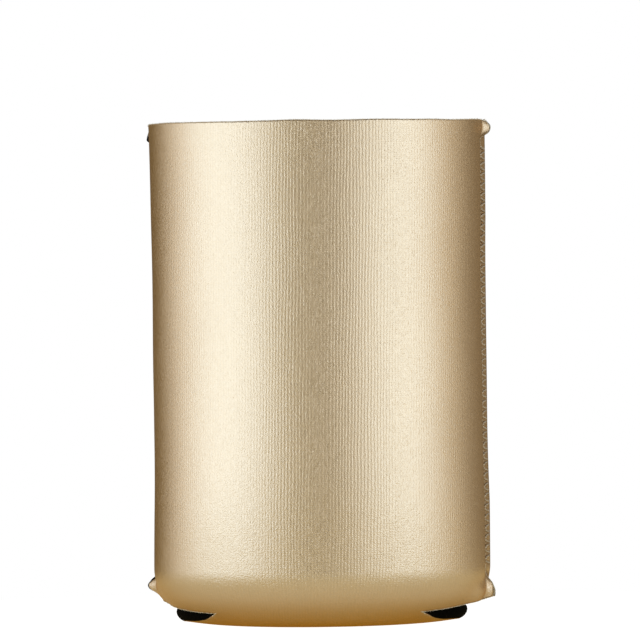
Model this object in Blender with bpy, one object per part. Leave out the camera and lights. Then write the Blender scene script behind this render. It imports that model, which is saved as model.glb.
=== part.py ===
"""Insulating sleeve for a drinks can.

One die-cut sheet of knit-faced foam makes the front panel, the round base and the back panel.
The panels wrap round into a cylinder and are sewn edge to edge at two seams. A notch beside
each seam lets the sheet turn under into the base, and the corners of the panels stand out
as small ears where the stitching stops.

Metres, +Z up. The origin is the centre of the base's underside and the front faces -Y.
"""

import math

import bmesh
import bpy
from mathutils import Vector

# Sizes in metres, angles in degrees
INNER_RADIUS = 0.03315  # snug round a standard can 66.3 mm across
FOAM_THICKNESS = 0.00265
HEIGHT = 0.107
CORNER_RADIUS = 0.012  # outside bend where a panel turns under
EDGE_CHAMFER = 0.0003  # softened corners of the cut foam

SEAM_ANGLE = 80.0  # right seam, counted from the front; the left one is opposite
SEAM_GAP = 0.0003  # between the two panel edges
SEAM_PRESS = 0.0007  # how deep the stitches press the outside
LINING_PRESS = 0.0004  # and the inside
PRESS_REACH = 0.0036  # how far the pressed groove reaches to each side

HINGE_ANGLE = 91.0  # arc over which a panel runs on into the base
TIP_BEND = 41.8  # bend of the sheet at a notch's tip
NOTCH_BEND = 52.6  # bend of the panel's cut edge beside the seam
NOTCH_CURVE = 1.33  # above 1 the bend of that edge grows faster near the seam
DISC_RADIUS = 0.0311  # base disc at the middle of a notch
DISC_BEND_RADIUS = 0.045  # there the disc lies nearly flat
DISC_CUT_REACH = 0.3  # share of the notch in which the disc's edge draws back from the tip
DISC_ROUNDING = 0.0013  # how far the knit face is drawn in along the disc's cut edge
ROUNDING_ANGLE = 8.0  # arc at a notch's tip over which that grows from nothing

TOP_EAR_HEIGHT = 0.0045
FOOT_EAR_HEIGHT = 0.011  # height above the ground where a lower ear starts
EAR_REACH = 0.0052  # how far round the panel an ear reaches
EAR_LIP = 0.0016  # reach of the steeper lip along the cut edge
EAR_LIP_SHARE = 0.45
EAR_OPENING = 0.0005  # extra gap between the two corners of an ear
WALL_FOOT_SHARE = 0.85  # of the notch's height: the panels are above this beside a seam, the disc below

# Ears, row by row: depth below the top or height above the ground, how far the corner stands out
# and how far it curls up
RIGHT_TOP_EAR = (
    (0.0, 0.00085, 0.0), (0.0008, 0.0016, 0.0), (0.0017, 0.0018, 0.0), (0.0029, 0.0013, 0.0),
    (0.0038, 0.0, 0.0),
)
LEFT_TOP_EAR = ((0.0, 0.0003, 0.0), (0.002, 0.001, 0.0), (0.0038, 0.0006, 0.0), (0.0046, 0.0, 0.0))
RIGHT_FOOT_EAR = (
    (0.0047, 0.004, 0.0005), (0.0068, 0.0026, 0.0001), (0.0083, 0.0015, 0.0), (0.0103, 0.0, 0.0),
)
LEFT_FOOT_EAR = (
    (0.0047, 0.003, 0.0019), (0.0058, 0.0028, 0.0009), (0.0076, 0.003, 0.0003),
    (0.0094, 0.0015, 0.0), (0.0115, 0.0, 0.0),
)

THREAD_RADIUS = 0.0002
THREAD_CLEARANCE = 0.0003  # between thread and sheet
STITCH_STEP = 0.0011  # height from one crossing of the seam to the next
STITCH_REACH = 0.0022  # needle holes to each side of the seam
STITCH_MARGIN = 0.001  # left free below the upper ears and above the lower ones

# Grid of the sheet
HINGE_COLUMNS = 14
NOTCH_STEP = 4.0  # mean angle between columns beside a hinge
SEAM_CROWDING = 1.6  # draws the columns together near a seam
WALL_ROWS = 8
EAR_ROWS = 6
BEND_ROWS = 7
DISC_BEND_ROWS = 3
DISC_RINGS = 3

OUTER_RADIUS = INNER_RADIUS + FOAM_THICKNESS
BASE_RADIUS = OUTER_RADIUS - CORNER_RADIUS  # the part of the base that lies on the ground

KNIT_COLOUR = (0.62, 0.47, 0.25)
FOAM_COLOUR = (0.012, 0.011, 0.010)
THREAD_COLOUR = (0.52, 0.38, 0.19)


def clear_scene():
    for item in list(bpy.data.objects):
        bpy.data.objects.remove(item, do_unlink=True)


def make_material(name, colour, roughness, metallic):
    material = bpy.data.materials.new(name)
    material.use_nodes = True
    material.diffuse_color = (*colour, 1.0)
    shader = material.node_tree.nodes["Principled BSDF"]
    shader.inputs["Base Color"].default_value = (*colour, 1.0)
    shader.inputs["Roughness"].default_value = roughness
    shader.inputs["Metallic"].default_value = metallic
    return material


def ease(share):
    """0 to 1 with a soft start and a soft end."""
    share = min(max(share, 0.0), 1.0)
    return share * share * (3.0 - 2.0 * share)


def polar(angle, radius, height):
    """A point of the sleeve at an angle in degrees, counted from the front towards +X."""
    turn = math.radians(angle)
    return Vector((radius * math.sin(turn), -radius * math.cos(turn), height))


def bent(bend, bend_radius):
    """Radius and height of the sheet's outside after it has bent up from the base by an angle."""
    return (
        BASE_RADIUS + bend_radius * math.sin(bend),
        bend_radius * (1.0 - math.cos(bend)),
    )


def seam_angles():
    return SEAM_ANGLE, SEAM_ANGLE - 180.0


def ear_share(height):
    """1 at the end of a seam, 0 where its ear starts."""
    upper = (height - (HEIGHT - TOP_EAR_HEIGHT)) / TOP_EAR_HEIGHT
    lower = (FOOT_EAR_HEIGHT - height) / (FOOT_EAR_HEIGHT - notch_height())
    return ease(upper), min(max(lower, 0.0), 1.0)


def notch_height():
    """Height of the panel's lower corners beside the seam."""
    return bent(math.radians(NOTCH_BEND), CORNER_RADIUS)[1]


def half_gap(height):
    upper, lower = ear_share(height)
    return 0.5 * (SEAM_GAP + EAR_OPENING * max(upper, lower))


def past_tip(angle):
    """Angle from the tip of the nearest notch into it; negative in a hinge."""
    return min(abs(angle), 180.0 - abs(angle)) - HINGE_ANGLE / 2


def wall_heights():
    """From the top edge down to the start of the bend, closer together at the upper ears."""
    ear_foot = HEIGHT - 1.3 * TOP_EAR_HEIGHT
    ear = [HEIGHT + (ear_foot - HEIGHT) * i / EAR_ROWS for i in range(EAR_ROWS)]
    plain = [ear_foot + (CORNER_RADIUS - ear_foot) * i / WALL_ROWS for i in range(WALL_ROWS + 1)]
    return ear + plain


def wall_line(angle, to_seam, side):
    """Outside of a panel from its top edge to its hinge or cut edge; side is +1 or -1 at a seam."""
    share = min(max(to_seam, 0.0), 1.0) ** NOTCH_CURVE
    last = math.radians(TIP_BEND + (NOTCH_BEND - TIP_BEND) * share)
    places = [(OUTER_RADIUS, height) for height in wall_heights()]
    quarter = math.pi / 2
    for i in range(1, BEND_ROWS + 1):
        places.append(bent(quarter + (last - quarter) * i / BEND_ROWS, CORNER_RADIUS))
    return [
        polar(angle + side * math.degrees(half_gap(height) / radius), radius, height)
        for radius, height in places
    ]


def base_line(angle):
    """Underside of the base from its hinge or cut edge in to the centre."""
    share = min(max(past_tip(angle) / (90.0 - HINGE_ANGLE / 2), 0.0), 1.0)
    curve = (1.0 - share) / CORNER_RADIUS + share / DISC_BEND_RADIUS
    tip_run = CORNER_RADIUS * math.radians(TIP_BEND)
    disc_run = DISC_BEND_RADIUS * math.asin((DISC_RADIUS - BASE_RADIUS) / DISC_BEND_RADIUS)
    run = tip_run + (disc_run - tip_run) * ease(share / DISC_CUT_REACH)
    places = [
        bent(curve * run * (1.0 - i / DISC_BEND_ROWS), 1.0 / curve) for i in range(DISC_BEND_ROWS)
    ]
    places += [(BASE_RADIUS * (1.0 - i / DISC_RINGS), 0.0) for i in range(DISC_RINGS + 1)]
    return [polar(angle, radius, height) for radius, height in places]


def crowded(tip, seam):
    """Angles from a notch's tip to the seam, closer together towards the seam."""
    count = max(4, round(abs(seam - tip) / NOTCH_STEP))
    return [seam + (tip - seam) * (1.0 - i / count) ** SEAM_CROWDING for i in range(count + 1)]


def panel_angles(start_seam, middle, end_seam):
    first_tip = middle - HINGE_ANGLE / 2
    last_tip = middle + HINGE_ANGLE / 2
    hinge = [first_tip + HINGE_ANGLE * i / HINGE_COLUMNS for i in range(HINGE_COLUMNS + 1)]
    return crowded(first_tip, start_seam)[:0:-1] + hinge + crowded(last_tip, end_seam)[1:]


def loft(bm, lines):
    """Faces between neighbouring lines of points."""
    columns = [[bm.verts.new(point) for point in line] for line in lines]
    for left, right in zip(columns, columns[1:]):
        for i in range(len(left) - 1):
            bm.faces.new((left[i], left[i + 1], right[i + 1], right[i]))


def wrapped(angle):
    """The same angle between -180 and 180 degrees."""
    return (angle + 180.0) % 360.0 - 180.0


def add_panel(bm, start_seam, middle, end_seam):
    angles = panel_angles(start_seam, middle, end_seam)
    walls = []
    for i, angle in enumerate(angles):
        seam = start_seam if angle < middle else end_seam
        tip = middle + math.copysign(HINGE_ANGLE / 2, angle - middle)
        side = 1 if i == 0 else -1 if i == len(angles) - 1 else 0
        walls.append(wall_line(angle, (angle - tip) / (seam - tip), side))
    loft(bm, walls)
    loft(bm, [base_line(wrapped(angle)) for angle in angles])


def sheet_outside():
    """The gold face of the folded sheet, as one open surface."""
    right, left = seam_angles()
    bm = bmesh.new()
    add_panel(bm, left, 0.0, right)
    add_panel(bm, right, 180.0, left + 360.0)
    bmesh.ops.remove_doubles(bm, verts=bm.verts, dist=1e-6)
    mesh = bpy.data.meshes.new("sheet_outside")
    bm.to_mesh(mesh)
    bm.free()
    return mesh


def round_disc(bm):
    """Draws the knit face in along the cut edge of the base disc, so that the foam edge slopes."""
    edge = set()
    for face in bm.faces:
        low = face.calc_center_median().z < WALL_FOOT_SHARE * notch_height()
        if face.material_index == 2 and low and face.normal.z > -0.3:
            for vertex in face.verts:
                if any(other.material_index == 0 for other in vertex.link_faces):
                    edge.add(vertex)
    for vertex in edge:
        x, y, height = vertex.co
        angle = math.degrees(math.atan2(x, -y))
        pull = DISC_ROUNDING * ease(past_tip(angle) / ROUNDING_ANGLE)
        share = 1.0 - pull / math.hypot(x, y)
        vertex.co = (x * share, y * share, height)


def thicken(mesh, materials):
    """Foam behind the knit face, with softened cut edges; returns the closed body."""
    for material in materials:
        mesh.materials.append(material)
    guide = bpy.data.objects.new("sheet_outside", mesh)
    bpy.context.scene.collection.objects.link(guide)
    foam = guide.modifiers.new("foam", "SOLIDIFY")
    foam.thickness = FOAM_THICKNESS
    foam.offset = -1.0
    foam.use_even_offset = True
    foam.material_offset = 1
    foam.material_offset_rim = 2
    solid = bpy.data.meshes.new_from_object(
        guide.evaluated_get(bpy.context.evaluated_depsgraph_get())
    )
    bpy.data.objects.remove(guide, do_unlink=True)
    bm = bmesh.new()
    bm.from_mesh(solid)
    bm.normal_update()
    round_disc(bm)
    rims = [
        edge
        for edge in bm.edges
        if sum(face.material_index == 2 for face in edge.link_faces) == 1
    ]
    bmesh.ops.bevel(
        bm, geom=rims, offset=EDGE_CHAMFER, segments=1, profile=0.5, affect="EDGES"
    )
    bm.to_mesh(solid)
    bm.free()
    return solid


def traced(rows, place):
    """Stand and curl of an ear at a height or depth, straight from row to row."""
    for first, second in zip(rows, rows[1:]):
        if place <= second[0]:
            share = max((place - first[0]) / (second[0] - first[0]), 0.0)
            return [first[i] + (second[i] - first[i]) * share for i in (1, 2)]
    return 0.0, 0.0


def seam_moves(right, run, height, depth):
    """How far a seam moves a point out and up: run along the wall from it, depth 0 outside to 1."""
    top_ear, foot_ear = (RIGHT_TOP_EAR, RIGHT_FOOT_EAR) if right else (LEFT_TOP_EAR, LEFT_FOOT_EAR)
    top_stand, top_curl = traced(top_ear, HEIGHT - height)
    foot_stand, foot_curl = traced(foot_ear, height)
    wide = max(0.0, 1.0 - run / EAR_REACH) ** 2
    lip = max(0.0, 1.0 - run / EAR_LIP)
    profile = wide + (lip - wide) * EAR_LIP_SHARE
    upper, lower = ear_share(height)
    sewn = (1.0 - max(upper, ease(2.0 * lower))) * (1.0 - ease(run / PRESS_REACH))
    press = sewn * (LINING_PRESS * depth - SEAM_PRESS * (1.0 - depth))
    return (top_stand + foot_stand) * profile + press, (top_curl + foot_curl) * profile


def shape_seams(mesh):
    """Presses the groove along each seam and lifts the ears at its ends."""
    for vertex in mesh.vertices:
        x, y, height = vertex.co
        radius = math.hypot(x, y)
        if radius < BASE_RADIUS or height < WALL_FOOT_SHARE * notch_height():
            continue
        angle = math.degrees(math.atan2(x, -y))
        runs = [math.radians(abs(wrapped(angle - seam))) * OUTER_RADIUS for seam in seam_angles()]
        below = min(height - CORNER_RADIUS, 0.0)
        depth = (CORNER_RADIUS - math.hypot(radius - BASE_RADIUS, below)) / FOAM_THICKNESS
        depth = min(max(depth, 0.0), 1.0)
        push, lift = seam_moves(runs[0] < runs[1], min(runs), height, depth)
        share = (radius + push) / radius
        vertex.co = (x * share, y * share, height + lift)


def finish(obj):
    obj.data.shade_smooth()
    obj.data.set_sharp_from_angle(angle=math.radians(40))


def make_sheet(materials):
    mesh = thicken(sheet_outside(), materials)
    shape_seams(mesh)
    mesh.name = "sleeve_sheet"
    sheet = bpy.data.objects.new("sleeve_sheet", mesh)
    bpy.context.scene.collection.objects.link(sheet)
    finish(sheet)


def stitch_path(seam, inside):
    """Ladder of crossings over the seam, a short step up at each needle hole."""
    low = FOOT_EAR_HEIGHT + STITCH_MARGIN
    high = HEIGHT - TOP_EAR_HEIGHT - STITCH_MARGIN
    count = int((high - low) / STITCH_STEP)
    stand_off = THREAD_CLEARANCE + THREAD_RADIUS
    step_up = 0.25 * STITCH_STEP
    points = []
    for i in range(count):
        reach = STITCH_REACH if i % 2 == 0 else -STITCH_REACH
        middle = low + (i + 0.5) * (high - low) / count
        for height in (middle - step_up, middle + step_up):
            push = seam_moves(seam > 0.0, STITCH_REACH, height, 1.0 if inside else 0.0)[0]
            radius = INNER_RADIUS - stand_off if inside else OUTER_RADIUS + stand_off
            angle = seam + math.degrees(reach / OUTER_RADIUS)
            points.append(polar(angle, radius + push, height))
    return points


def make_thread(name, seam, inside, material):
    curve = bpy.data.curves.new(name, "CURVE")
    curve.dimensions = "3D"
    curve.bevel_depth = THREAD_RADIUS
    curve.bevel_resolution = 1
    curve.use_fill_caps = True
    curve.materials.append(material)
    points = stitch_path(seam, inside)
    spline = curve.splines.new("POLY")
    spline.points.add(len(points) - 1)
    for spot, point in zip(spline.points, points):
        spot.co = (*point, 1.0)
    thread = bpy.data.objects.new(name, curve)
    bpy.context.scene.collection.objects.link(thread)


def build():
    clear_scene()
    knit = make_material("gold_knit", KNIT_COLOUR, 0.4, 0.7)
    lining = make_material("foam_inside", FOAM_COLOUR, 0.9, 0.0)
    cut = make_material("foam_cut_edge", FOAM_COLOUR, 0.95, 0.0)
    make_sheet([knit, lining, cut])
    for side, seam in zip(("right", "left"), seam_angles()):
        for place in ("outer", "inner"):
            name = f"{side}_seam_{place}_thread"
            material = make_material(name, THREAD_COLOUR, 0.6, 0.0)
            make_thread(name, seam, place == "inner", material)


build()
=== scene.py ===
import math
import bpy
import numpy as np
from mathutils import Matrix, Vector, noise


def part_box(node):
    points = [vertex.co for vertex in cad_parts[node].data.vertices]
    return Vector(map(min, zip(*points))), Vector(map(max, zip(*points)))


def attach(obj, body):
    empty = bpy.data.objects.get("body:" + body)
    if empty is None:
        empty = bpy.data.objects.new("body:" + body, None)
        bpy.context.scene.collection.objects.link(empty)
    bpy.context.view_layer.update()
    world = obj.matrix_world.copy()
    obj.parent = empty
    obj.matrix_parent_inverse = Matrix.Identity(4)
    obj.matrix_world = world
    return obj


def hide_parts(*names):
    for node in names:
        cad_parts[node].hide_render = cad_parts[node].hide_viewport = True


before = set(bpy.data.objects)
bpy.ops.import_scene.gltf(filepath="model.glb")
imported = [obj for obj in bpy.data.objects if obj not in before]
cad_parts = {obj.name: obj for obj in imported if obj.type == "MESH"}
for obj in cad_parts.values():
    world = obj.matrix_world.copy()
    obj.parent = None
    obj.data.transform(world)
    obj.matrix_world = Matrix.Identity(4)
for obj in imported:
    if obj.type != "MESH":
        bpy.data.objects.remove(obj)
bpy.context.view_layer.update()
sheetLow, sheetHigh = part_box("sleeve_sheet")
print("frame loaded, sleeve", [round(side * 1000, 1) for side in sheetHigh - sheetLow], "mm")

# the folded sheet, in metres and degrees; the front faces -Y
sleeve = {
    "height": sheetHigh[2],
    "radius": sheetHigh[1],  # outside of the wall
    "foam": 0.00265,
    "corner": 0.012,  # outside bend where a panel turns under
    "seamAngle": 80.0,
    "seamGap": 0.0003,
    "hingeAngle": 91.0,
    "rightTip": 40.0,  # the notch at the front right is cut further in
    "tipBend": 41.8,
    "notchBend": 52.6,
    "notchCurve": 1.33,
    "discRadius": 0.0311,
    "discBend": 0.045,
    "discCutReach": 0.3,
    "discPull": 0.00195,  # how far the knit is drawn in at the disc's bare edge
    "bareArc": 20.0,  # arc over which the bare edge grows from a notch's tip
    "bareCurve": 0.7,
    "leftBulge": 0.0008,  # the disc is cut a little wider on the left
    "leftBulgeAngle": -84.0,
    "leftBulgeArc": 22.0,
    "hingeColumns": 20,
    "seamColumn": 0.0003,  # width of the grid's columns right beside a seam
    "widestColumn": 0.0022,
    "columnGrowth": 1.09,
    "rowStep": 0.00037,
    "bendRows": 18,
    "discRows": 9,
    "discRings": 9,
    "weld": 0.0000001,  # points closer than this are one
}
flatRadius = sleeve["radius"] - sleeve["corner"]

# how the sewing shapes the sheet
sewing = {
    "press": 0.0006,
    "liningPress": 0.0004,
    "pressReach": 0.0036,
    "pucker": 0.00022,  # dimple at each needle hole
    "puckerSize": 0.0007,
    "ridge": 0.35,  # and the knit stands up a little between the holes
    "ridgeWidth": 0.0012,
    "topEarHeight": 0.0045,
    "footEarHeight": 0.011,
    "earOpening": 0.0005,
    "earRun": 0.0052,  # an ear's broad root
    "earStand": 0.55,
    "earCurl": 0.4,
    "lipRun": 0.0016,  # and its lip right at the seam
    "lipCurve": 0.8,
    "lipStand": 0.45,
    "lipCurl": 0.6,
    "lipThin": 0.9,  # up at the rim only the knit side curls over
    "frontEar": 0.9,  # the front panel's corner stands out less
    "fullEar": 0.001,  # an ear that stands out this far has its whole crease and turn
    "earTurn": 0.0033,  # the foam of the left ears turns outward at its edge
    "turnReach": 0.0014,
    "footHeight": 0.009,  # the lower cut edge's own forms start here
    "footFade": 0.0035,
    "footFlare": 0.0011,  # the cut edge stands out beside the ears
    "footFlareRun": 0.004,
    "footFlareReach": 0.0036,
    "footLift": 0.0003,  # and is cut a little higher on the left
    "footLiftRun": 0.0055,
    "footLiftReach": 0.0035,
    "topDrop": 0.0009,  # the rim falls towards the left seam
    "topDropReach": 0.02,
    "topDropCurve": 1.3,
    "topDropRise": 1.2,
    "crease": 0.00014,
    "creaseRun": 0.0019,
    "creaseWidth": 0.0004,
}

# the soft wall stands out at both ends on the left, and sinks in a little halfway up on the right
settle = {
    "middle": 0.056,
    "flare": 0.00045,
    "flareReach": 0.05,
    "sink": 0.00033,
    "sinkReach": 0.03,
    "start": 0.0034,
    "fade": 0.006,
}

# the ears: height on the sheet, how far it stands out and how far it curls up, in millimetres
ears = {
    "right": (
        (4.7, 4.03, 0.75), (5.8, 3.25, 0.4), (6.85, 2.6, 0.1), (8.33, 1.5, 0.0), (9.5, 0.33, 0.0),
        (10.3, 0.0, 0.0), (102.9, 0.0, 0.0), (103.3, 0.4, 0.0), (103.6, 1.0, 0.0), (104.0, 1.7, 0.0),
        (104.6, 2.15, 0.0), (105.2, 2.2, 0.0), (105.8, 2.05, -0.1), (106.4, 1.65, -0.35), (107.0, 1.1, -0.6),
    ),
    "left": (
        (4.7, 3.3, 2.0), (5.8, 3.3, 1.0), (6.8, 3.4, 0.4), (7.6, 3.3, 0.2), (8.3, 2.8, 0.05),
        (9.0, 2.0, 0.0), (9.6, 1.0, 0.0), (10.5, 0.4, 0.0), (11.5, 0.0, 0.0), (101.9, 0.0, 0.0),
        (102.8, 0.7, 0.0), (103.6, 1.1, 0.0), (105.0, 1.25, 0.0), (106.2, 1.0, -0.2), (107.0, 0.5, -0.4),
    ),
}

# one crossing of the thread after another, up the seam
stitch = {
    "step": 0.0011,
    "reach": 0.0022,
    "slant": 0.6,  # share of a step that one crossing climbs
    "radius": 0.00017,
    "clearance": 0.00006,
    "margin": 0.001,
    "dive": 0.0006,  # how deep the thread goes in at a needle hole
    "diveStart": 0.55,
    "jitter": 0.00012,
    "seed": 11,
    "pointsPerStitch": 7,
    "sides": 7,
}
stitchLow = sewing["footEarHeight"] + stitch["margin"]
stitchHigh = sleeve["height"] - sewing["topEarHeight"] - stitch["margin"]
stitchCount = int((stitchHigh - stitchLow) / stitch["step"])
stitchPitch = (stitchHigh - stitchLow) / stitchCount


def ease(share):
    share = np.clip(share, 0.0, 1.0)
    return share * share * (3.0 - 2.0 * share)


def bell(run, middle, width):
    return np.exp(-((run - middle) / width) ** 2)


def bent(bend, bendRadius):  # radius and height of the outside after bending up from the base
    return flatRadius + bendRadius * np.sin(bend), bendRadius * (1.0 - np.cos(bend))


def seamAngles():
    return sleeve["seamAngle"], sleeve["seamAngle"] - 180.0


notchHeight = bent(math.radians(sleeve["notchBend"]), sleeve["corner"])[1]


def earShares(height):  # 1 at the ends of a seam, 0 where the ears start
    upper = (height - sleeve["height"] + sewing["topEarHeight"]) / sewing["topEarHeight"]
    lower = (sewing["footEarHeight"] - height) / (sewing["footEarHeight"] - notchHeight)
    return ease(upper), np.clip(lower, 0.0, 1.0)


def wrapped(angle):
    return (angle + 180.0) % 360.0 - 180.0


def fromMiddle(angle):  # of the front or the back panel
    return min(abs(angle), 180.0 - abs(angle))


def spread(start, end, count):
    return [start + (end - start) * i / count for i in range(count + 1)]


# columns from a notch's tip to the seam, closer together at the seam
def crowded(tip, seam):
    whole = math.radians(abs(seam - tip)) * sleeve["radius"]
    runs, width = [0.0], sleeve["seamColumn"]
    while runs[-1] + 1.5 * width < whole:
        runs.append(runs[-1] + width)
        width = min(width * sleeve["columnGrowth"], sleeve["widestColumn"])
    runs = [run * whole / runs[-1] for run in runs]
    return [seam + (tip - seam) * run / whole for run in reversed(runs)]


def hingeTip(angle):
    return sleeve["rightTip"] if 0.0 < wrapped(angle) < 90.0 else sleeve["hingeAngle"] / 2


def panelAngles(startSeam, middle, endSeam):
    tips = middle - hingeTip(startSeam), middle + hingeTip(middle + 1.0)
    hinge = spread(*tips, sleeve["hingeColumns"])
    return crowded(tips[0], startSeam)[:0:-1] + hinge + crowded(tips[1], endSeam)[1:]


# each line holds radius, height, bend of the surface and length down the sheet, row by row
def wallLine(toSeam):
    share = min(max(toSeam, 0.0), 1.0) ** sleeve["notchCurve"]
    last = math.radians(sleeve["tipBend"] + (sleeve["notchBend"] - sleeve["tipBend"]) * share)
    rows = round((sleeve["height"] - sleeve["corner"]) / sleeve["rowStep"])
    heights = np.linspace(sleeve["height"], sleeve["corner"], rows + 1)
    bends = np.linspace(math.pi / 2, last, sleeve["bendRows"] + 1)[1:]
    bentRadius, bentHeight = bent(bends, sleeve["corner"])
    bentDown = sleeve["height"] - sleeve["corner"] + (math.pi / 2 - bends) * sleeve["corner"]
    return (
        np.concatenate([np.full(rows + 1, sleeve["radius"]), bentRadius]),
        np.concatenate([heights, bentHeight]),
        np.concatenate([np.full(rows + 1, math.pi / 2), bends]),
        np.concatenate([sleeve["height"] - heights, bentDown]),
    )


wallRun = sleeve["height"] - sleeve["corner"] + math.pi / 2 * sleeve["corner"]  # down to the flat of the base


def baseLine(angle):
    tip = hingeTip(angle)
    share = min(max((fromMiddle(angle) - tip) / (90.0 - tip), 0.0), 1.0)
    curve = (1.0 - share) / sleeve["corner"] + share / sleeve["discBend"]
    tipRun = sleeve["corner"] * math.radians(sleeve["tipBend"])
    bulge = sleeve["leftBulge"] * bell(angle, sleeve["leftBulgeAngle"], sleeve["leftBulgeArc"])
    discRun = sleeve["discBend"] * math.asin((sleeve["discRadius"] + bulge - flatRadius) / sleeve["discBend"])
    run = tipRun + (discRun - tipRun) * float(ease(share / sleeve["discCutReach"]))
    runs = np.linspace(run, 0.0, sleeve["discRows"] + 1)
    bentRadius, bentHeight = bent(curve * runs, 1.0 / curve)
    rings = np.linspace(flatRadius, 0.0, sleeve["discRings"] + 1)[1:]
    zero = np.zeros(sleeve["discRings"])
    return (
        np.concatenate([bentRadius, rings]),
        np.concatenate([bentHeight, zero]),
        np.concatenate([curve * runs, zero]),
        np.concatenate([wallRun - runs, wallRun + flatRadius - rings]),
    )


# the knit runs straight down the panels and straight on across the base
def sheetUV(angle, middle, line, pastTip):
    radius, _, _, down = line
    turn = math.radians(wrapped(angle if middle == 0.0 else 180.0 - angle))
    flat = ease((down - wallRun + sleeve["corner"]) / sleeve["corner"])
    flat = flat + (1.0 - flat) * float(ease(pastTip))
    across = sleeve["radius"] * turn * (1.0 - flat) + radius * math.sin(turn) * flat
    straight = wallRun + flatRadius - radius * abs(math.cos(turn))
    return np.stack([across, down * (1.0 - flat) + straight * flat], 1)


def linePoints(angle, line, side):
    radius, height, bend, _ = line
    upper, lower = earShares(height)
    halfGap = 0.5 * (sleeve["seamGap"] + sewing["earOpening"] * np.maximum(upper, lower))
    turn = np.radians(angle) + side * halfGap / np.maximum(radius, 1e-6)
    across, ahead = np.sin(turn), -np.cos(turn)
    points = np.stack([radius * across, radius * ahead, height], 1)
    normals = np.stack([np.sin(bend) * across, np.sin(bend) * ahead, -np.cos(bend)], 1)
    return points, normals


# the knit is drawn in from the disc's bare edge
def drawnIn(angle, line, bare):
    radius, _, bend, _ = line
    if not bare:
        return np.zeros((len(radius), 3))
    nearEdge = np.clip((radius - flatRadius) / (radius[0] - flatRadius), 0.0, 1.0) ** 2
    turn = math.radians(angle)
    outward = np.stack([np.cos(bend) * math.sin(turn), -np.cos(bend) * math.cos(turn), np.sin(bend)], 1)
    return -sleeve["discPull"] * bare * nearEdge[:, None] * outward


# the outside of the sheet as one open grid, with what each point needs to know, and its faces
def sheetOutside():
    right, left = seamAngles()
    points, normals, uvs, discEdge, pulls, onWall, faces = [], [], [], [], [], [], []
    start = 0
    for startSeam, middle, endSeam in ((left, 0.0, right), (right, 180.0, left + 360.0)):
        angles = panelAngles(startSeam, middle, endSeam)
        for kind in ("wall", "base"):
            for i, angle in enumerate(angles):
                seam = startSeam if angle < middle else endSeam
                tip = middle + math.copysign(hingeTip(angle), angle - middle)
                side = (i == 0) - (i == len(angles) - 1) if kind == "wall" else 0
                line = wallLine((angle - tip) / (seam - tip)) if kind == "wall" else baseLine(wrapped(angle))
                linePoint, lineNormal = linePoints(angle, line, side)
                rows = len(linePoint)
                fromTip = (fromMiddle(wrapped(angle)) - hingeTip(angle)) / sleeve["bareArc"]
                pastTip = min(max(fromTip, 0.0), 1.0) * (kind == "base")
                bare = pastTip ** sleeve["bareCurve"]
                points.append(linePoint)
                normals.append(lineNormal)
                uvs.append(sheetUV(angle, middle, line, pastTip))
                discEdge.append(np.full(rows, bare))
                pulls.append(drawnIn(angle, line, bare))
                onWall.append(np.full(rows, kind == "wall"))
                if i:
                    a = start - rows + np.arange(rows - 1)
                    b = start + np.arange(rows - 1)
                    faces.append(np.stack([a, a + 1, b + 1, b], 1))
                start += rows
    return [np.concatenate(part) for part in (points, normals, uvs, discEdge, pulls, onWall, faces)]


# lines that meet share their points; a quad that closes up at the centre becomes a triangle
def mergeLines(points, faces):
    keys = np.round(points / sleeve["weld"]).astype(np.int64)
    _, first, inverse = np.unique(keys, axis=0, return_index=True, return_inverse=True)
    polygons = []
    for face in inverse.reshape(-1)[faces]:
        kept = [int(v) for i, v in enumerate(face) if v != face[i - 1]]
        if len(kept) > 2:
            polygons.append(kept)
    return first, polygons


# a cut edge from the knit side to the lining: depth as a share of the foam and how far it stands out, then
# both again for the disc's bare edge, where the second is a share of the pull
cutEdge = (
    (0.00, 0.00000, 0.00, -1.0),
    (0.05, 0.00008, 0.01, -0.97),
    (0.15, 0.00006, 0.03, -0.90),
    (0.17, -0.00008, 0.08, -0.66),
    (0.30, 0.00000, 0.20, -0.40),
    (0.45, 0.00003, 0.38, -0.15),
    (0.65, 0.00003, 0.62, 0.0),
    (0.86, -0.00006, 0.86, 0.0),
    (1.00, -0.00025, 1.00, -0.12),
)
knitLevels = 2  # the first strips of a cut edge are knit


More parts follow.
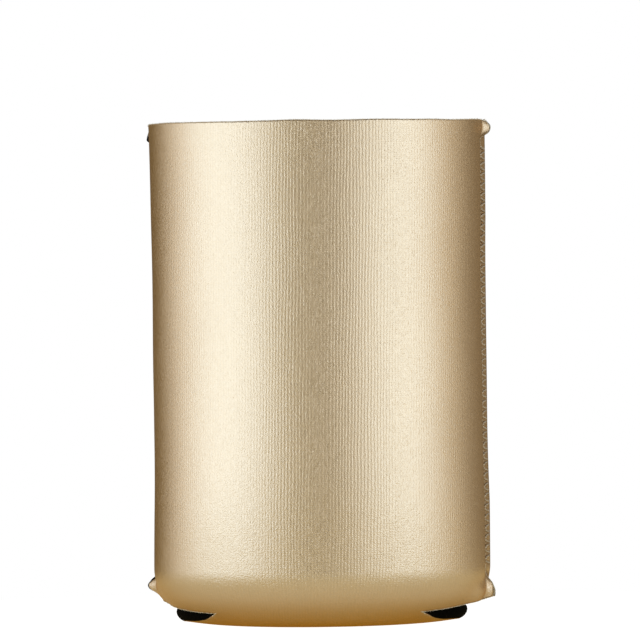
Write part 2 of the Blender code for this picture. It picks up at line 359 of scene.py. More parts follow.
# gives the open grid its thickness of foam, with a strip of rows across every cut edge
def closedSheet():
    points, normals, uvs, discEdge, pulls, onWall, faces = sheetOutside()
    first, polygons = mergeLines(points, faces)
    points, normals, uvs = points[first], normals[first], uvs[first]
    discEdge, pulls, onWall = discEdge[first], pulls[first], onWall[first]
    count = len(points)
    edges = [edge for polygon in polygons for edge in zip(polygon, polygon[1:] + polygon[:1])]
    seen = set(edges)
    rim = [(a, b) for a, b in edges if (b, a) not in seen]
    off = np.zeros((count, 3))
    for a, b in rim:
        away = np.cross(points[b] - points[a], normals[a])
        away /= np.linalg.norm(away)
        off[a] += away
        off[b] += away
    rimPoints = sorted({v for edge in rim for v in edge})
    rimPlace = {v: i for i, v in enumerate(rimPoints)}
    away = off[rimPoints] / np.linalg.norm(off[rimPoints], axis=1, keepdims=True)
    foam = sleeve["foam"]
    bare = discEdge[rimPoints][:, None]
    rings = []
    for depth, plain, discDepth, drawn in cutEdge:
        depth = depth * (1.0 - bare) + discDepth * bare
        out = plain * (1.0 - bare) + drawn * sleeve["discPull"] * bare
        rings.append(points[rimPoints] - depth * foam * normals[rimPoints] + out * away)
    outer, inner = points + pulls, points - foam * normals
    outer[rimPoints], inner[rimPoints] = rings[0], rings[-1]
    edgeDepths = [np.full(len(rimPoints), level[0]) for level in cutEdge[1:-1]]

    def onAllLayers(values):
        return np.concatenate([values, values] + [values[rimPoints]] * len(edgeDepths))

    def ringPoint(level, v):
        if level == 0:
            return v
        if level == len(cutEdge) - 1:
            return count + v
        return 2 * count + (level - 1) * len(rimPoints) + rimPlace[v]

    allFaces = polygons + [[count + v for v in reversed(polygon)] for polygon in polygons]
    slots = [0] * len(polygons) + [1] * len(polygons)
    for a, b in rim:
        knit = 0 if discEdge[a] > 0.0 and discEdge[b] > 0.0 else 2
        for level in range(len(cutEdge) - 1):
            corners = (level, b), (level, a), (level + 1, a), (level + 1, b)
            allFaces.append([ringPoint(*corner) for corner in corners])
            slots.append(knit if level < knitLevels else 1)
    sheet = {
        "points": np.concatenate([outer, inner] + rings[1:-1]),
        "depths": np.concatenate([np.zeros(count), np.ones(count)] + edgeDepths),
        "uv": onAllLayers(uvs),
        "onWall": onAllLayers(onWall),
    }
    plainEdges = [edge for edge in rim if discEdge[edge[0]] == 0.0 and discEdge[edge[1]] == 0.0]
    aways = {v: away[i] + fuzzy["outward"] * normals[v] for i, v in enumerate(rimPoints)}
    return sheet, allFaces, slots, fuzzEdges(points, plainEdges), aways


# stitches press a groove and dimple the knit at each needle hole; the ends of the seams stand out as ears
def seamMoves(points, depths, onWall):
    height = points[:, 2]
    angle = np.degrees(np.arctan2(points[:, 0], -points[:, 1]))
    push, lift, flare = np.zeros(len(points)), np.zeros(len(points)), np.zeros(len(points))
    upper, lower = earShares(height)
    lowDown = ease((sewing["footHeight"] - height) / sewing["footFade"])
    for name, seam in zip(("right", "left"), seamAngles()):
        signed = np.radians(wrapped(angle - seam)) * sleeve["radius"]
        run = np.abs(signed)
        heights, stands, curls = (np.array(column) / 1000.0 for column in zip(*ears[name]))
        root = np.maximum(0.0, 1.0 - run / sewing["earRun"]) ** 2
        lip = np.maximum(0.0, 1.0 - run / sewing["lipRun"]) ** sewing["lipCurve"]
        behind = np.where((signed > 0) == (name == "right"), 1.0, sewing["frontEar"])
        stand = np.interp(height, heights, stands)
        standing = np.clip(stand / sewing["fullEar"], 0.0, 1.0)
        fold = sewing["crease"] * bell(run, sewing["creaseRun"], sewing["creaseWidth"]) * standing
        push += stand * behind * (sewing["earStand"] * root + sewing["lipStand"] * lip) - fold
        curl = np.interp(height, heights, curls) * (sewing["earCurl"] * root + sewing["lipCurl"] * lip)
        lift += curl * np.where(upper > 0.0, 1.0 - sewing["lipThin"] * depths, 1.0)
        if name == "left":
            turned = depths * np.maximum(0.0, 1.0 - run / sewing["turnReach"])
            push += turned * sewing["earTurn"] * standing
            lift += bell(run, sewing["footLiftRun"], sewing["footLiftReach"]) * sewing["footLift"] * lowDown
            nearSeam = np.maximum(0.0, 1.0 - run / sewing["topDropReach"]) ** sewing["topDropCurve"]
            lift -= sewing["topDrop"] * nearSeam * ease(upper * sewing["topDropRise"])
        flare += bell(run, sewing["footFlareRun"], sewing["footFlareReach"])
        sewn = 1.0 - np.maximum(upper, ease(2.0 * lower))
        groove = sewn * (1.0 - ease(run / sewing["pressReach"]))
        half = np.where(signed > 0, 0.5, 1.5)  # holes to the right come first, those to the left a step higher
        step = (height - stitchLow) / stitchPitch
        near = (step - half + 1.0) % 2.0 - 1.0
        aside, along = run - stitch["reach"], near * stitchPitch
        hole = (aside / sewing["puckerSize"]) ** 2 + (along / sewing["puckerSize"]) ** 2
        ridge = sewing["ridge"] * bell(run, stitch["reach"], sewing["ridgeWidth"])
        dimple = sewn * sewing["pucker"] * (np.exp(-hole) - ridge)
        push += groove * (sewing["liningPress"] * depths - sewing["press"] * (1.0 - depths))
        push -= dimple * (1.0 - 2.0 * depths)
    push += flare * sewing["footFlare"] * lowDown
    return push * onWall, lift * onWall


# low dents in the wall and a slightly wavy rim
softness = {
    "dent": 0.00016,
    "dentSize": 0.022,
    "dentStart": 0.004,
    "dentFade": 0.02,
    "dentSeed": 3.7,
    "topWave": 0.00022,
    "topWaveSize": 0.009,
    "topReach": 0.006,
    "topFall": 0.35,
    "topSeed": 7.1,
}


def shapeSheet(points, depths, onWall):
    radius = np.maximum(np.hypot(points[:, 0], points[:, 1]), 1e-9)
    push, rise = seamMoves(points, depths, onWall)
    away = points[:, 2] - settle["middle"]
    flare = settle["flare"] * (away / settle["flareReach"]) ** 2
    sink = settle["sink"] * np.maximum(0.0, 1.0 - (away / settle["sinkReach"]) ** 2)
    leaning = np.where(points[:, 0] < 0.0, flare, -sink) * (points[:, 0] / radius) ** 2
    push += leaning * ease((points[:, 2] - settle["start"]) / settle["fade"])
    for i, (x, y, z) in enumerate(points):
        hold = min(max((z - softness["dentStart"]) / softness["dentFade"], 0.0), 1.0)
        place = Vector((x, y, z)) / softness["dentSize"]
        push[i] += softness["dent"] * noise.noise(place + Vector((softness["dentSeed"], 0, 0))) * hold
        top = max(0.0, 1.0 - (sleeve["height"] - z) / softness["topReach"])
        if top > 0.0:
            wave = noise.noise(Vector((x, y, softness["topSeed"])) / softness["topWaveSize"])
            rise[i] += softness["topWave"] * top * (wave - softness["topFall"])
    share = (radius + push) / radius
    return np.stack([points[:, 0] * share, points[:, 1] * share, points[:, 2] + rise], 1)


def makeMesh(name, points, faces, uv, materials, slots):
    mesh = bpy.data.meshes.new(name)
    mesh.from_pydata(points.tolist(), [], faces)
    for material in materials:
        mesh.materials.append(material)
    mesh.polygons.foreach_set("material_index", slots)
    corners = np.zeros(len(mesh.loops), np.int32)
    mesh.loops.foreach_get("vertex_index", corners)
    layer = mesh.uv_layers.new(name="knitUV")
    layer.data.foreach_set("uv", uv[corners].astype(np.float32).ravel())
    mesh.update()
    mesh.shade_smooth()
    piece = bpy.data.objects.new(name, mesh)
    bpy.context.scene.collection.objects.link(piece)
    return piece


# shader and geometry maths: a wrapped socket that adds its own Math nodes
class Sock:
    def __init__(self, tree, out):
        self.tree, self.out = tree, out

    def math(self, operation, *others):
        return self.tree.add("ShaderNodeMath", {"operation": operation}, dict(enumerate((self, *others))))[0]

    def __add__(self, other):
        return self.math("ADD", other)

    def __radd__(self, other):
        return self.math("ADD", other)

    def __sub__(self, other):
        return self.math("SUBTRACT", other)

    def __rsub__(self, other):
        return self.tree.number(other).math("SUBTRACT", self)

    def __mul__(self, other):
        return self.math("MULTIPLY", other)

    def __rmul__(self, other):
        return self.math("MULTIPLY", other)

    def __truediv__(self, other):
        return self.math("DIVIDE", other)

    def ramp(self, low, high):  # soft step from 0 at low to 1 at high
        return self.tree.add("ShaderNodeMapRange", {"interpolation_type": "SMOOTHSTEP"}, {
            "Value": self, "From Min": low, "From Max": high,
        })[0]


class Tree:
    def __init__(self, nodeTree):
        self.tree = nodeTree

    def add(self, kind, settings=None, inputs=None):  # returns the node's outputs, wrapped
        node = self.tree.nodes.new(kind)
        for key, value in (settings or {}).items():
            setattr(node, key, value)
        for key, value in (inputs or {}).items():
            socket = node.inputs[key]
            if isinstance(value, Sock):
                self.tree.links.new(value.out, socket)
            else:
                socket.default_value = value
        return Outs(self, node)

    def number(self, value):
        node = self.add("ShaderNodeValue")
        node.node.outputs[0].default_value = value
        return node[0]

    def vector(self, *parts):
        return self.add("ShaderNodeCombineXYZ", {}, dict(enumerate(parts)))["Vector"]

    def mix(self, factor, a, b):
        return self.add("ShaderNodeMix", {"data_type": "RGBA"}, {0: factor, 6: a, 7: b})[2]

    def noise(self, place, scale, detail, **others):
        inputs = {"Vector": place, "Scale": scale, "Detail": detail, **others}
        return self.add("ShaderNodeTexNoise", {}, inputs)["Fac"]

    def bump(self, strength, distance, height):
        return self.add("ShaderNodeBump", {}, {
            "Strength": strength, "Distance": distance, "Height": height,
        })["Normal"]


class Outs:
    def __init__(self, tree, node):
        self.tree, self.node = tree, node

    def __getitem__(self, key):
        return Sock(self.tree, self.node.outputs[key])


def newMaterial(name):
    material = bpy.data.materials.new(name)
    material.use_nodes = True
    material.node_tree.nodes.clear()
    return material, Tree(material.node_tree)


def output(tree, shader):
    tree.add("ShaderNodeOutputMaterial", {}, {"Surface": shader})


def principled(tree, inputs):
    return tree.add("ShaderNodeBsdfPrincipled", {}, inputs)["BSDF"]


gold = {
    "wale": 0.00069,
    "course": 0.00046,
    "skew": 0.018,  # the knit is laminated a little off the straight
    "light": (0.90, 0.66, 0.37, 1.0),
    "deep": (0.60, 0.41, 0.19, 1.0),
    # painted shade: a darker, browner gold over the bend towards the floor
    "foot": (0.62, 0.31, 0.06, 1.0),
    "edgeTint": (0.9, 0.7, 0.45, 1.0),
    "roughness": 0.34,
    "pale": (0.98, 0.96, 0.92, 1.0),  # the polished backs of the metal threads
    "paleRoughness": 0.2,
    "paleShare": 0.33,
    "relief": 0.0001,
    "ribMiddle": 0.006,  # the ribs show most in a wide band down a panel's middle
    "ribFull": 0.0088,
    "ribReach": 0.022,
    "ribFade": 0.65,
    # unevenness of the threads: turns in a metre across and down, and detail
    "streak": (900.0, 160.0, 2.0),
    "fleck": (3200.0, 1900.0, 2.0),
    "glint": (5200.0, 4200.0, 1.0),
    "cloud": (70.0, 50.0, 2.0),
    "drift": (180.0, 45.0, 1.0),
    "threadBreakup": 0.6,
    # how far they bend the ribs and loops, and what each adds to relief, shade, roughness and pale spots; in
    # the shade, rib, fleck and glint follow the relief and paint its hollows darker as shade, while spark,
    # streak and cloud are random tone
    "ribBend": {"streak": 0.3, "drift": 1.2},
    "loopBend": {"wale": 1.2, "fleck": 0.4},
    "ribRelief": {"streak": 0.24, "loop": 0.18, "even": 0.03},
    "grainRelief": {"fleck": 0.7, "glint": 0.5},
    "shade": {
        "rib": 0.1, "fleck": 0.1, "glint": 0.1, "spark": 0.08, "streak": 0.14, "cloud": 0.2, "even": 0.21,
    },
    "shadeTop": 1.15,
    "rough": {"glint": 0.14, "fleck": 0.10, "even": -0.12},
    "paleSpots": {"spark": 0.12, "glint": 0.08, "even": -0.1},
}


def blend(weights, **parts):  # the parts added up by their weights, with an even share for all
    total = None
    for name, part in parts.items():
        total = part * weights[name] if total is None else total + part * weights[name]
    return total + weights["even"] if "even" in weights else total


def knitMaterial():
    material, tree = newMaterial("goldKnit")
    uv = tree.add("ShaderNodeUVMap", {"uv_map": "knitUV"})["UV"]
    uvParts = tree.add("ShaderNodeSeparateXYZ", {}, {0: uv})
    across, down = uvParts["X"] + uvParts["Y"] * gold["skew"], uvParts["Y"]

    def threads(name):
        acrossScale, downScale, detail = gold[name]
        place = tree.vector(across * acrossScale, down * downScale)
        return tree.noise(place, 1.0, detail, Roughness=gold["threadBreakup"])

    streak, fleck, glint = threads("streak"), threads("fleck"), threads("glint")
    cloud, drift = threads("cloud"), threads("drift")
    waleTurns = across * (1.0 / gold["wale"]) + streak * gold["ribBend"]["streak"]
    waleTurns = waleTurns + drift * gold["ribBend"]["drift"]
    inWale = (waleTurns.math("FRACT") - 0.5).math("ABSOLUTE")
    rib = (waleTurns * (2 * math.pi)).math("COSINE") * 0.5 + 0.5
    courses = down * (1.0 / gold["course"]) + inWale * gold["loopBend"]["wale"]
    loop = ((courses + fleck * gold["loopBend"]["fleck"]) * (2 * math.pi)).math("COSINE") * 0.5 + 0.5
    legs = tree.vector((waleTurns * 2.0).math("FLOOR"), courses.math("FLOOR"))
    spark = tree.add("ShaderNodeTexWhiteNoise", {"noise_dimensions": "2D"}, {"Vector": legs})["Value"]
    flatter = (across - gold["ribMiddle"]).math("ABSOLUTE").ramp(gold["ribFull"], gold["ribReach"])
    ribs = rib * blend(gold["ribRelief"], streak=streak, loop=loop) * (1.0 - flatter * gold["ribFade"])
    grain = gold["grainRelief"]
    bump = tree.bump(1.0, gold["relief"], ribs + fleck * grain["fleck"] + glint * grain["glint"])
    # random tone plus painted shade: darker in the relief's hollows, lighter on its tops
    toneAndHollowShade = blend(gold["shade"], rib=rib, fleck=fleck, glint=glint, spark=spark, streak=streak, cloud=cloud)
    colour = tree.mix(toneAndHollowShade.ramp(0.0, gold["shadeTop"]), gold["deep"], gold["light"])
    # painted shade: the colour turns to the darker foot gold over the lowest bend, by height alone
    z = tree.add("ShaderNodeSeparateXYZ", {}, {0: tree.add("ShaderNodeTexCoord")["Object"]})["Z"]
    colour = tree.mix((sleeve["corner"] - z).ramp(0.0, sleeve["corner"]), colour, gold["foot"])

    def metal(tint, rough):
        return principled(tree, {
            "Base Color": tint, "Metallic": 1.0, "Roughness": rough, "Normal": bump,
            "Specular Tint": gold["edgeTint"],
        })

    rough = blend(gold["rough"], glint=glint, fleck=fleck) + gold["roughness"]
    share = blend(gold["paleSpots"], spark=spark, glint=glint) * gold["paleShare"] + gold["paleShare"]
    plain, pale = metal(colour, rough), metal(gold["pale"], gold["paleRoughness"])
    output(tree, tree.add("ShaderNodeMixShader", {}, {0: share, 1: plain, 2: pale})[0])
    return material


# specks in two colours, for the knit's cut edge, its loose fibres and the thread
specks = {
    "knitCutEdge": {
        "deep": (0.52, 0.42, 0.27, 1.0),
        "light": (0.95, 0.90, 0.76, 1.0),
        "range": (0.35, 0.7),
        "scale": 2600.0,
        "detail": 2.0,
        "metallic": 0.15,
        "roughness": 0.6,
        "strength": 0.8,
        "relief": 0.0001,
    },
    "edgeFibre": {
        "deep": (0.80, 0.70, 0.52, 1.0),
        "light": (1.0, 0.95, 0.86, 1.0),
        "range": (0.35, 0.65),
        "scale": 1500.0,
        "detail": 1.0,
        "metallic": 0.0,
        "roughness": 0.5,
    },
    "seamThread": {
        "deep": (0.38, 0.30, 0.21, 1.0),
        "light": (0.78, 0.66, 0.50, 1.0),
        "range": (0.3, 0.75),
        "scale": 5200.0,
        "detail": 1.0,
        "metallic": 0.0,
        "roughness": 0.5,
        "strength": 0.5,
        "relief": 0.00005,
    },
}


def speckMaterial(name):
    look = specks[name]
    material, tree = newMaterial(name)
    speck = tree.noise(tree.add("ShaderNodeTexCoord")["Object"], look["scale"], look["detail"])
    inputs = {
        "Base Color": tree.mix(speck.ramp(*look["range"]), look["deep"], look["light"]),
        "Metallic": look["metallic"],
        "Roughness": look["roughness"],
    }
    if "relief" in look:
        inputs["Normal"] = tree.bump(look["strength"], look["relief"], speck)
    output(tree, principled(tree, inputs))
    return material


foamLook = {
    "deep": (0.0007, 0.0006, 0.0006, 1.0),
    "light": (0.0045, 0.004, 0.0036, 1.0),
    "range": (0.3, 1.1),
    "cellScale": 2600.0,
    "cloudScale": 700.0,
    "cloudDetail": 4.0,
    "height": {"cells": 0.7, "cloud": 0.5},
    "rough": {"cloud": 0.1, "even": 0.85},
    "shine": 0.03,
    "strength": 0.7,
    "relief": 0.00015,
}


def foamMaterial():
    material, tree = newMaterial("blackFoam")
    place = tree.add("ShaderNodeTexCoord")["Object"]
    cells = tree.add("ShaderNodeTexVoronoi", {"feature": "F1"}, {
        "Vector": place, "Scale": foamLook["cellScale"],
    })["Distance"]
    cloud = tree.noise(place, foamLook["cloudScale"], foamLook["cloudDetail"])
    height = blend(foamLook["height"], cells=cells, cloud=cloud)
    output(tree, principled(tree, {
        "Base Color": tree.mix(height.ramp(*foamLook["range"]), foamLook["deep"], foamLook["light"]),
        "Roughness": blend(foamLook["rough"], cloud=cloud),
        "Normal": tree.bump(foamLook["strength"], foamLook["relief"], height),
        "Specular IOR Level": foamLook["shine"],
    }))
    return material


def makeSleeve():
    sheet, faces, slots, fuzz, aways = closedSheet()
    shaped = shapeSheet(sheet["points"], sheet["depths"], sheet["onWall"])
    materials = knitMaterial(), foamMaterial(), speckMaterial("knitCutEdge")
    piece = makeMesh("sleeveSheet", shaped, faces, sheet["uv"], materials, slots)
    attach(piece, "root")
    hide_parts("sleeve_sheet")
    triangles = sum(len(face) - 2 for face in faces)
    print("sleeve sheet made,", triangles, "triangles")
    makeFuzz(shaped, fuzz, aways)


# a geometry tree with named inputs
def newGroup(name, inputs):
    group = bpy.data.node_groups.new(name, "GeometryNodeTree")
    group.interface.new_socket("Geometry", in_out="OUTPUT", socket_type="NodeSocketGeometry")
    for key, kind in inputs.items():
        group.interface.new_socket(key, in_out="INPUT", socket_type="NodeSocket" + kind)
    tree = Tree(group)
    return group, tree, tree.add("NodeGroupInput")


def endGroup(tree, geometry, material):
    real = tree.add("GeometryNodeRealizeInstances", {}, {"Geometry": geometry})["Geometry"]
    done = tree.add("GeometryNodeSetMaterial", {}, {"Geometry": real, "Material": material})["Geometry"]
    tree.add("NodeGroupOutput", {}, {0: done})


# runs a geometry tree and keeps its result as a plain mesh
def runTree(name, group, values, mesh=None):
    piece = bpy.data.objects.new(name, mesh or bpy.data.meshes.new(name))
    bpy.context.scene.collection.objects.link(piece)
    modifier = piece.modifiers.new("build", "NODES")
    modifier.node_group = group
    for item in group.interface.items_tree:
        if item.in_out == "INPUT" and item.name in values:
            modifier[item.identifier] = values[item.name]
    bpy.context.view_layer.update()
    mesh = bpy.data.meshes.new_from_object(piece.evaluated_get(bpy.context.evaluated_depsgraph_get()))
    mesh.name = name
    piece.modifiers.clear()
    piece.data = mesh
    return piece


fuzzy = {
    "spacing": 0.00007,
    "length": 0.00032,
    "shortest": 0.35,
    "width": 0.00005,
    "lean": 0.9,
    "outward": 0.5,
    "steepest": 0.7,  # edges steeper than this are sewn, and have no fibres
    "leanSeed": 5,
    "lengthSeed": 8,
}


# fibres stand out along the top edge and the lower cut edges of the panels
def fuzzEdges(points, edges):
    kept = []
    for a, b in edges:
        run = points[b] - points[a]
        if abs(run[2]) < fuzzy["steepest"] * np.linalg.norm(run):
            kept.append((a, b))
    return kept


# short fibres all along the knit's cut edges
def fuzzTree():
    group, tree, given = newGroup("edgeFuzz", {
        "Geometry": "Geometry", "Spacing": "Float", "Length": "Float", "Width": "Float", "Lean": "Float",
        "Fibre": "Material",
    })
    path = tree.add("GeometryNodeMeshToCurve", {}, {"Mesh": given["Geometry"]})["Curve"]
    points = tree.add("GeometryNodeResampleCurve", {"mode": "LENGTH"}, {
        "Curve": path, "Length": given["Spacing"],
    })["Curve"]
    away = tree.add("GeometryNodeInputNamedAttribute", {"data_type": "FLOAT_VECTOR"}, {
        "Name": "away",
    })["Attribute"]
    loose = tree.add("FunctionNodeRandomValue", {"data_type": "FLOAT_VECTOR"}, {
        0: (-1, -1, -1), 1: (1, 1, 1), "Seed": fuzzy["leanSeed"],
    })[0]
    leaning = tree.add("ShaderNodeVectorMath", {"operation": "SCALE"}, {
        0: loose, "Scale": given["Lean"],
    })["Vector"]
    toward = tree.add("ShaderNodeVectorMath", {"operation": "ADD"}, {0: leaning, 1: away})["Vector"]
    turn = tree.add("FunctionNodeAlignRotationToVector", {"axis": "Z"}, {"Vector": toward})["Rotation"]
    long = tree.add("FunctionNodeRandomValue", {"data_type": "FLOAT"}, {
        2: fuzzy["shortest"], 3: 1.0, "Seed": fuzzy["lengthSeed"],
    })[1] * given["Length"]
    fibre = tree.add("GeometryNodeMeshCone", {"fill_type": "NGON"}, {
        "Vertices": 3, "Radius Top": 0.0, "Radius Bottom": 1.0, "Depth": 1.0,
    })["Mesh"]
    fibres = tree.add("GeometryNodeInstanceOnPoints", {}, {
        "Points": points, "Instance": fibre, "Rotation": turn,
        "Scale": tree.vector(given["Width"], given["Width"], long),
    })["Instances"]
    endGroup(tree, fibres, given["Fibre"])
    return group


def makeFuzz(points, edges, aways):
    used = sorted({v for edge in edges for v in edge})
    place = {v: i for i, v in enumerate(used)}
    mesh = bpy.data.meshes.new("edgeLine")
    mesh.from_pydata(points[used].tolist(), [(place[a], place[b]) for a, b in edges], [])
    away = np.array([aways[v] for v in used], np.float32)
    mesh.attributes.new("away", "FLOAT_VECTOR", "POINT").data.foreach_set("vector", away.ravel())
    piece = runTree("edgeFuzz", fuzzTree(), {
        "Spacing": fuzzy["spacing"], "Length": fuzzy["length"], "Width": fuzzy["width"],
        "Lean": fuzzy["lean"], "Fibre": speckMaterial("edgeFibre"),
    }, mesh)
    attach(piece, "root")
    print("edge fuzz made,", len(piece.data.polygons), "faces")


# one tree lays the thread: every point's place follows from its index
def stitchTree():
    sizes = (
        "Low", "Pitch", "Reach", "Surface Radius", "Wall Radius", "Seam Angle", "Thread Radius", "Press",
        "Press Reach", "Dive", "Side", "Jitter", "Flare", "Sink",
    )
    kinds = {"Count": "Int", **{name: "Float" for name in sizes}, "Thread": "Material"}
    group, tree, given = newGroup("seamStitches", kinds)
    perStitch = stitch["pointsPerStitch"]
    points = tree.add("GeometryNodeMeshLine", {}, {"Count": given["Count"] * perStitch})["Mesh"]
    index = tree.add("GeometryNodeInputIndex")["Index"]
    number = (index / perStitch).math("FLOOR")
    along = (index - number * perStitch) / (perStitch - 1)  # 0 at one needle hole, 1 at the next
    sign = 1.0 - number.math("MODULO", 2.0) * 2.0
    loose = tree.add("FunctionNodeRandomValue", {"data_type": "FLOAT"}, {
        2: -1.0, 3: 1.0, "ID": number, "Seed": stitch["seed"],
    })[1]
    run = (along * math.pi).math("COSINE") * sign * given["Reach"]
    climb = number + 0.5 + (along - 0.5) * stitch["slant"]
    height = given["Low"] + climb * given["Pitch"] + loose * given["Jitter"]
    ends = (1.0 - (along * math.pi).math("SINE")).ramp(stitch["diveStart"], 1.0)
    press = 1.0 - (run.math("ABSOLUTE") / given["Press Reach"]).ramp(0.0, 1.0)
    away = height - settle["middle"]
    flare = away * away * given["Flare"] * (1.0 / settle["flareReach"] ** 2)
    sink = (1.0 - away * away * (1.0 / settle["sinkReach"] ** 2)).math("MAXIMUM", 0.0) * given["Sink"]
    inward = press * given["Press"] + ends * given["Dive"]
    radius = given["Surface Radius"] + flare - sink - given["Side"] * inward
    turn = given["Seam Angle"] + run / given["Wall Radius"]
    place = tree.vector(radius * turn.math("SINE"), radius * turn.math("COSINE") * -1.0, height)
    moved = tree.add("GeometryNodeSetPosition", {}, {"Geometry": points, "Position": place})["Geometry"]
    path = tree.add("GeometryNodeMeshToCurve", {}, {"Mesh": moved})["Curve"]
    ring = tree.add("GeometryNodeCurvePrimitiveCircle", {}, {
        "Resolution": stitch["sides"], "Radius": given["Thread Radius"],
    })["Curve"]
    tube = tree.add("GeometryNodeCurveToMesh", {}, {
        "Curve": path, "Profile Curve": ring, "Fill Caps": True,
    })["Mesh"]
    smooth = tree.add("GeometryNodeSetShadeSmooth", {}, {"Geometry": tube, "Shade Smooth": True})["Geometry"]
    endGroup(tree, smooth, given["Thread"])
    return group


def makeStitches():
    group, thread = stitchTree(), speckMaterial("seamThread")
    standOff = stitch["clearance"] + stitch["radius"]
    for side, seam in zip(("right", "left"), seamAngles()):
        for place in ("outer", "inner"):
            out = place == "outer"
            surface = sleeve["radius"] + standOff if out else sleeve["radius"] - sleeve["foam"] - standOff
            piece = runTree(f"{side}{place.capitalize()}Stitches", group, {
                "Count": stitchCount, "Low": stitchLow, "Pitch": stitchPitch, "Reach": stitch["reach"],
                "Surface Radius": surface, "Wall Radius": sleeve["radius"], "Seam Angle": math.radians(seam),
                "Thread Radius": stitch["radius"], "Press": sewing["press"] if out else sewing["liningPress"],
                "Press Reach": sewing["pressReach"], "Dive": stitch["dive"], "Side": 1.0 if out else -1.0,
                "Jitter": stitch["jitter"], "Thread": thread,
                "Flare": settle["flare"] * (side == "left"), "Sink": settle["sink"] * (side == "right"),
            })
            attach(piece, "root")
            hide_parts(f"{side}_seam_{place}_thread")
            print(piece.name, len(piece.data.polygons), "faces")


# the photograph's camera: far away, a little above the middle of the sleeve, rolled slightly
shot = {
    "distance": 1.65,
    "height": 0.087,
    "focalPixels": 7705.0,
    "framePixels": 640,
    "pitch": 0.78,
    "roll": -0.72,
    "sensor": 36.0,
    "nearest": 0.05,
    "furthest": 60.0,
}


def makeCamera():
    data = bpy.data.cameras.new("camera")
    data.sensor_width = shot["sensor"]
    data.lens = shot["focalPixels"] / shot["framePixels"] * shot["sensor"]
    data.clip_start, data.clip_end = shot["nearest"], shot["furthest"]
    camera = bpy.data.objects.new("camera", data)
    bpy.context.scene.collection.objects.link(camera)
    pitch = Matrix.Rotation(math.radians(90.0 - shot["pitch"]), 4, "X")
    roll = Matrix.Rotation(math.radians(shot["roll"]), 4, "Z")
    camera.matrix_world = Matrix.Translation((0.0, -shot["distance"], shot["height"])) @ (pitch @ roll)
    bpy.context.scene.camera = camera
    print("camera placed")


# two banks of tall soft boxes make the two bright bands; angles are counted from the camera, to the right
boxes = (
    {"name": "leftBack", "angle": -142.5, "spread": 30.0, "glow": 0.107, "colour": (1.0, 0.8, 0.3)},
    {"name": "leftRear", "angle": -112.5, "spread": 30.0, "glow": 0.754, "colour": (1.0, 0.972, 0.92)},
    {"name": "leftMain", "angle": -67.5, "spread": 60.0, "glow": 1.214, "colour": (1.0, 1.133, 1.25)},
    {"name": "leftFront", "angle": -22.5, "spread": 30.0, "glow": 0.57, "colour": (1.0, 0.975, 0.795)},
    {"name": "rightFront", "angle": 22.5, "spread": 30.0, "glow": 0.7, "colour": (1.0, 0.992, 0.902)},
    {"name": "rightMain", "angle": 60.0, "spread": 45.0, "glow": 1.178, "colour": (1.0, 1.125, 1.215)},
    {"name": "rightRear", "angle": 97.5, "spread": 30.0, "glow": 0.625, "colour": (1.0, 0.899, 0.714)},
    {"name": "rightBack", "angle": 135.0, "spread": 45.0, "glow": 0.184, "colour": (1.0, 0.913, 0.745)},
    {"name": "back", "angle": 180.0, "spread": 45.0, "glow": 0.06, "colour": (1.0, 0.99, 0.9)},
)
boxRoom = {
    "distance": 1.2,
    "tall": 1.4,
    "lift": 0.05,
    "overheadSide": 1.2,
    "overheadHeight": 1.5,
    "overheadGlow": 0.8,
    "overheadColour": (1.0, 1.0, 1.0),
}


def addBox(name, glow, colour, width, tall, place):
    data = bpy.data.lights.new(name, "AREA")
    data.shape = "RECTANGLE"
    data.size, data.size_y = width, tall
    data.energy = glow * math.pi * width * tall
    data.color = colour
    item = bpy.data.objects.new(name, data)
    bpy.context.scene.collection.objects.link(item)
    item.location = place
    item.rotation_euler = (Vector((0, 0, boxRoom["lift"])) - place).to_track_quat("-Z", "Y").to_euler()
    item.visible_camera = False


def makeLamps():
    lift = Vector((0, 0, boxRoom["lift"]))
    for box in boxes:
        width = 2.0 * boxRoom["distance"] * math.tan(math.radians(box["spread"] / 2))
        turn = math.radians(box["angle"])
        place = Vector((math.sin(turn), -math.cos(turn), 0.0)) * boxRoom["distance"] + lift
        addBox(box["name"], box["glow"], box["colour"], width, boxRoom["tall"], place)
    side, place = boxRoom["overheadSide"], Vector((0, 0, boxRoom["overheadHeight"]))
    addBox("overhead", boxRoom["overheadGlow"], boxRoom["overheadColour"], side, side, place)
    print(len(boxes) + 1, "lamps placed")


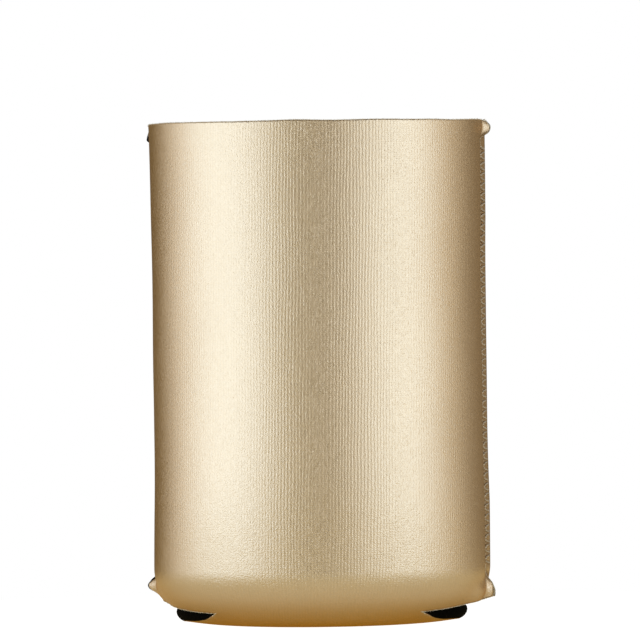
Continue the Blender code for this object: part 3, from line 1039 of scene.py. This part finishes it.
room = {
    "ambient": (0.06, 0.04, 0.024, 1.0),
    "seen": (1.0, 1.0, 1.0, 1.0),
    "floor": (0.5, 0.5, 0.5, 1.0),
    "floorRoughness": 0.9,
    "floorShine": 0.1,
    "floorLift": 0.85,
    "floorSeen": (1.2, 1.2, 1.2, 1.0),
    "floorRadius": 0.13,
    "floorSides": 64,
    "floorHeight": -0.0001,
    "underGlow": (0.305, 0.213, 0.022, 1.0),  # painted shadow: what the floor glows back under the sleeve, darker and browner
    "underEdge": (0.028, 0.042),
    "nearGlow": (0.454, 0.396, 0.227, 1.0),  # beside it
    "nearEdge": (0.05, 0.11),
    "farGlow": (0.45, 0.392, 0.211, 1.0),  # and further away
}


def makeWorld():
    world = bpy.data.worlds.new("studio")
    bpy.context.scene.world = world
    world.use_nodes = True
    world.node_tree.nodes.clear()
    tree = Tree(world.node_tree)
    path = tree.add("ShaderNodeLightPath")
    seen = path["Is Camera Ray"].math("MAXIMUM", path["Is Transmission Ray"])
    background = tree.add("ShaderNodeBackground", {}, {"Color": tree.mix(seen, room["ambient"], room["seen"])})
    tree.add("ShaderNodeOutputWorld", {}, {"Surface": background[0]})


def floorMaterial():
    material, tree = newMaterial("paleFloor")
    place = tree.add("ShaderNodeTexCoord")["Object"]
    away = tree.add("ShaderNodeVectorMath", {"operation": "LENGTH"}, {0: place})["Value"]
    # for every ray but the camera's the floor glows: a painted reflection of a lit floor, with a painted
    # shadow under the sleeve
    glow = tree.mix(away.ramp(*room["underEdge"]), room["underGlow"], room["nearGlow"])
    glow = tree.mix(away.ramp(*room["nearEdge"]), glow, room["farGlow"])
    path = tree.add("ShaderNodeLightPath")
    output(tree, principled(tree, {
        "Base Color": room["floor"],
        "Roughness": room["floorRoughness"],
        "Specular IOR Level": room["floorShine"],
        "Emission Color": tree.mix(path["Is Camera Ray"], glow, room["floorSeen"]),
        "Emission Strength": room["floorLift"],
    }))
    return material


def makeRoom():
    makeWorld()
    mesh = bpy.data.meshes.new("floor")
    radius, sides = room["floorRadius"], room["floorSides"]
    turns = [2 * math.pi * i / sides for i in range(sides)]
    rim = [(radius * math.cos(turn), radius * math.sin(turn), room["floorHeight"]) for turn in turns]
    mesh.from_pydata(rim, [], [range(sides)])
    floor = bpy.data.objects.new("floor", mesh)
    bpy.context.scene.collection.objects.link(floor)
    floor.data.materials.append(floorMaterial())
    print("floor and background made")


makeSleeve()
makeStitches()
makeCamera()
makeLamps()
makeRoom()
bpy.context.scene.view_settings.view_transform = "Standard"
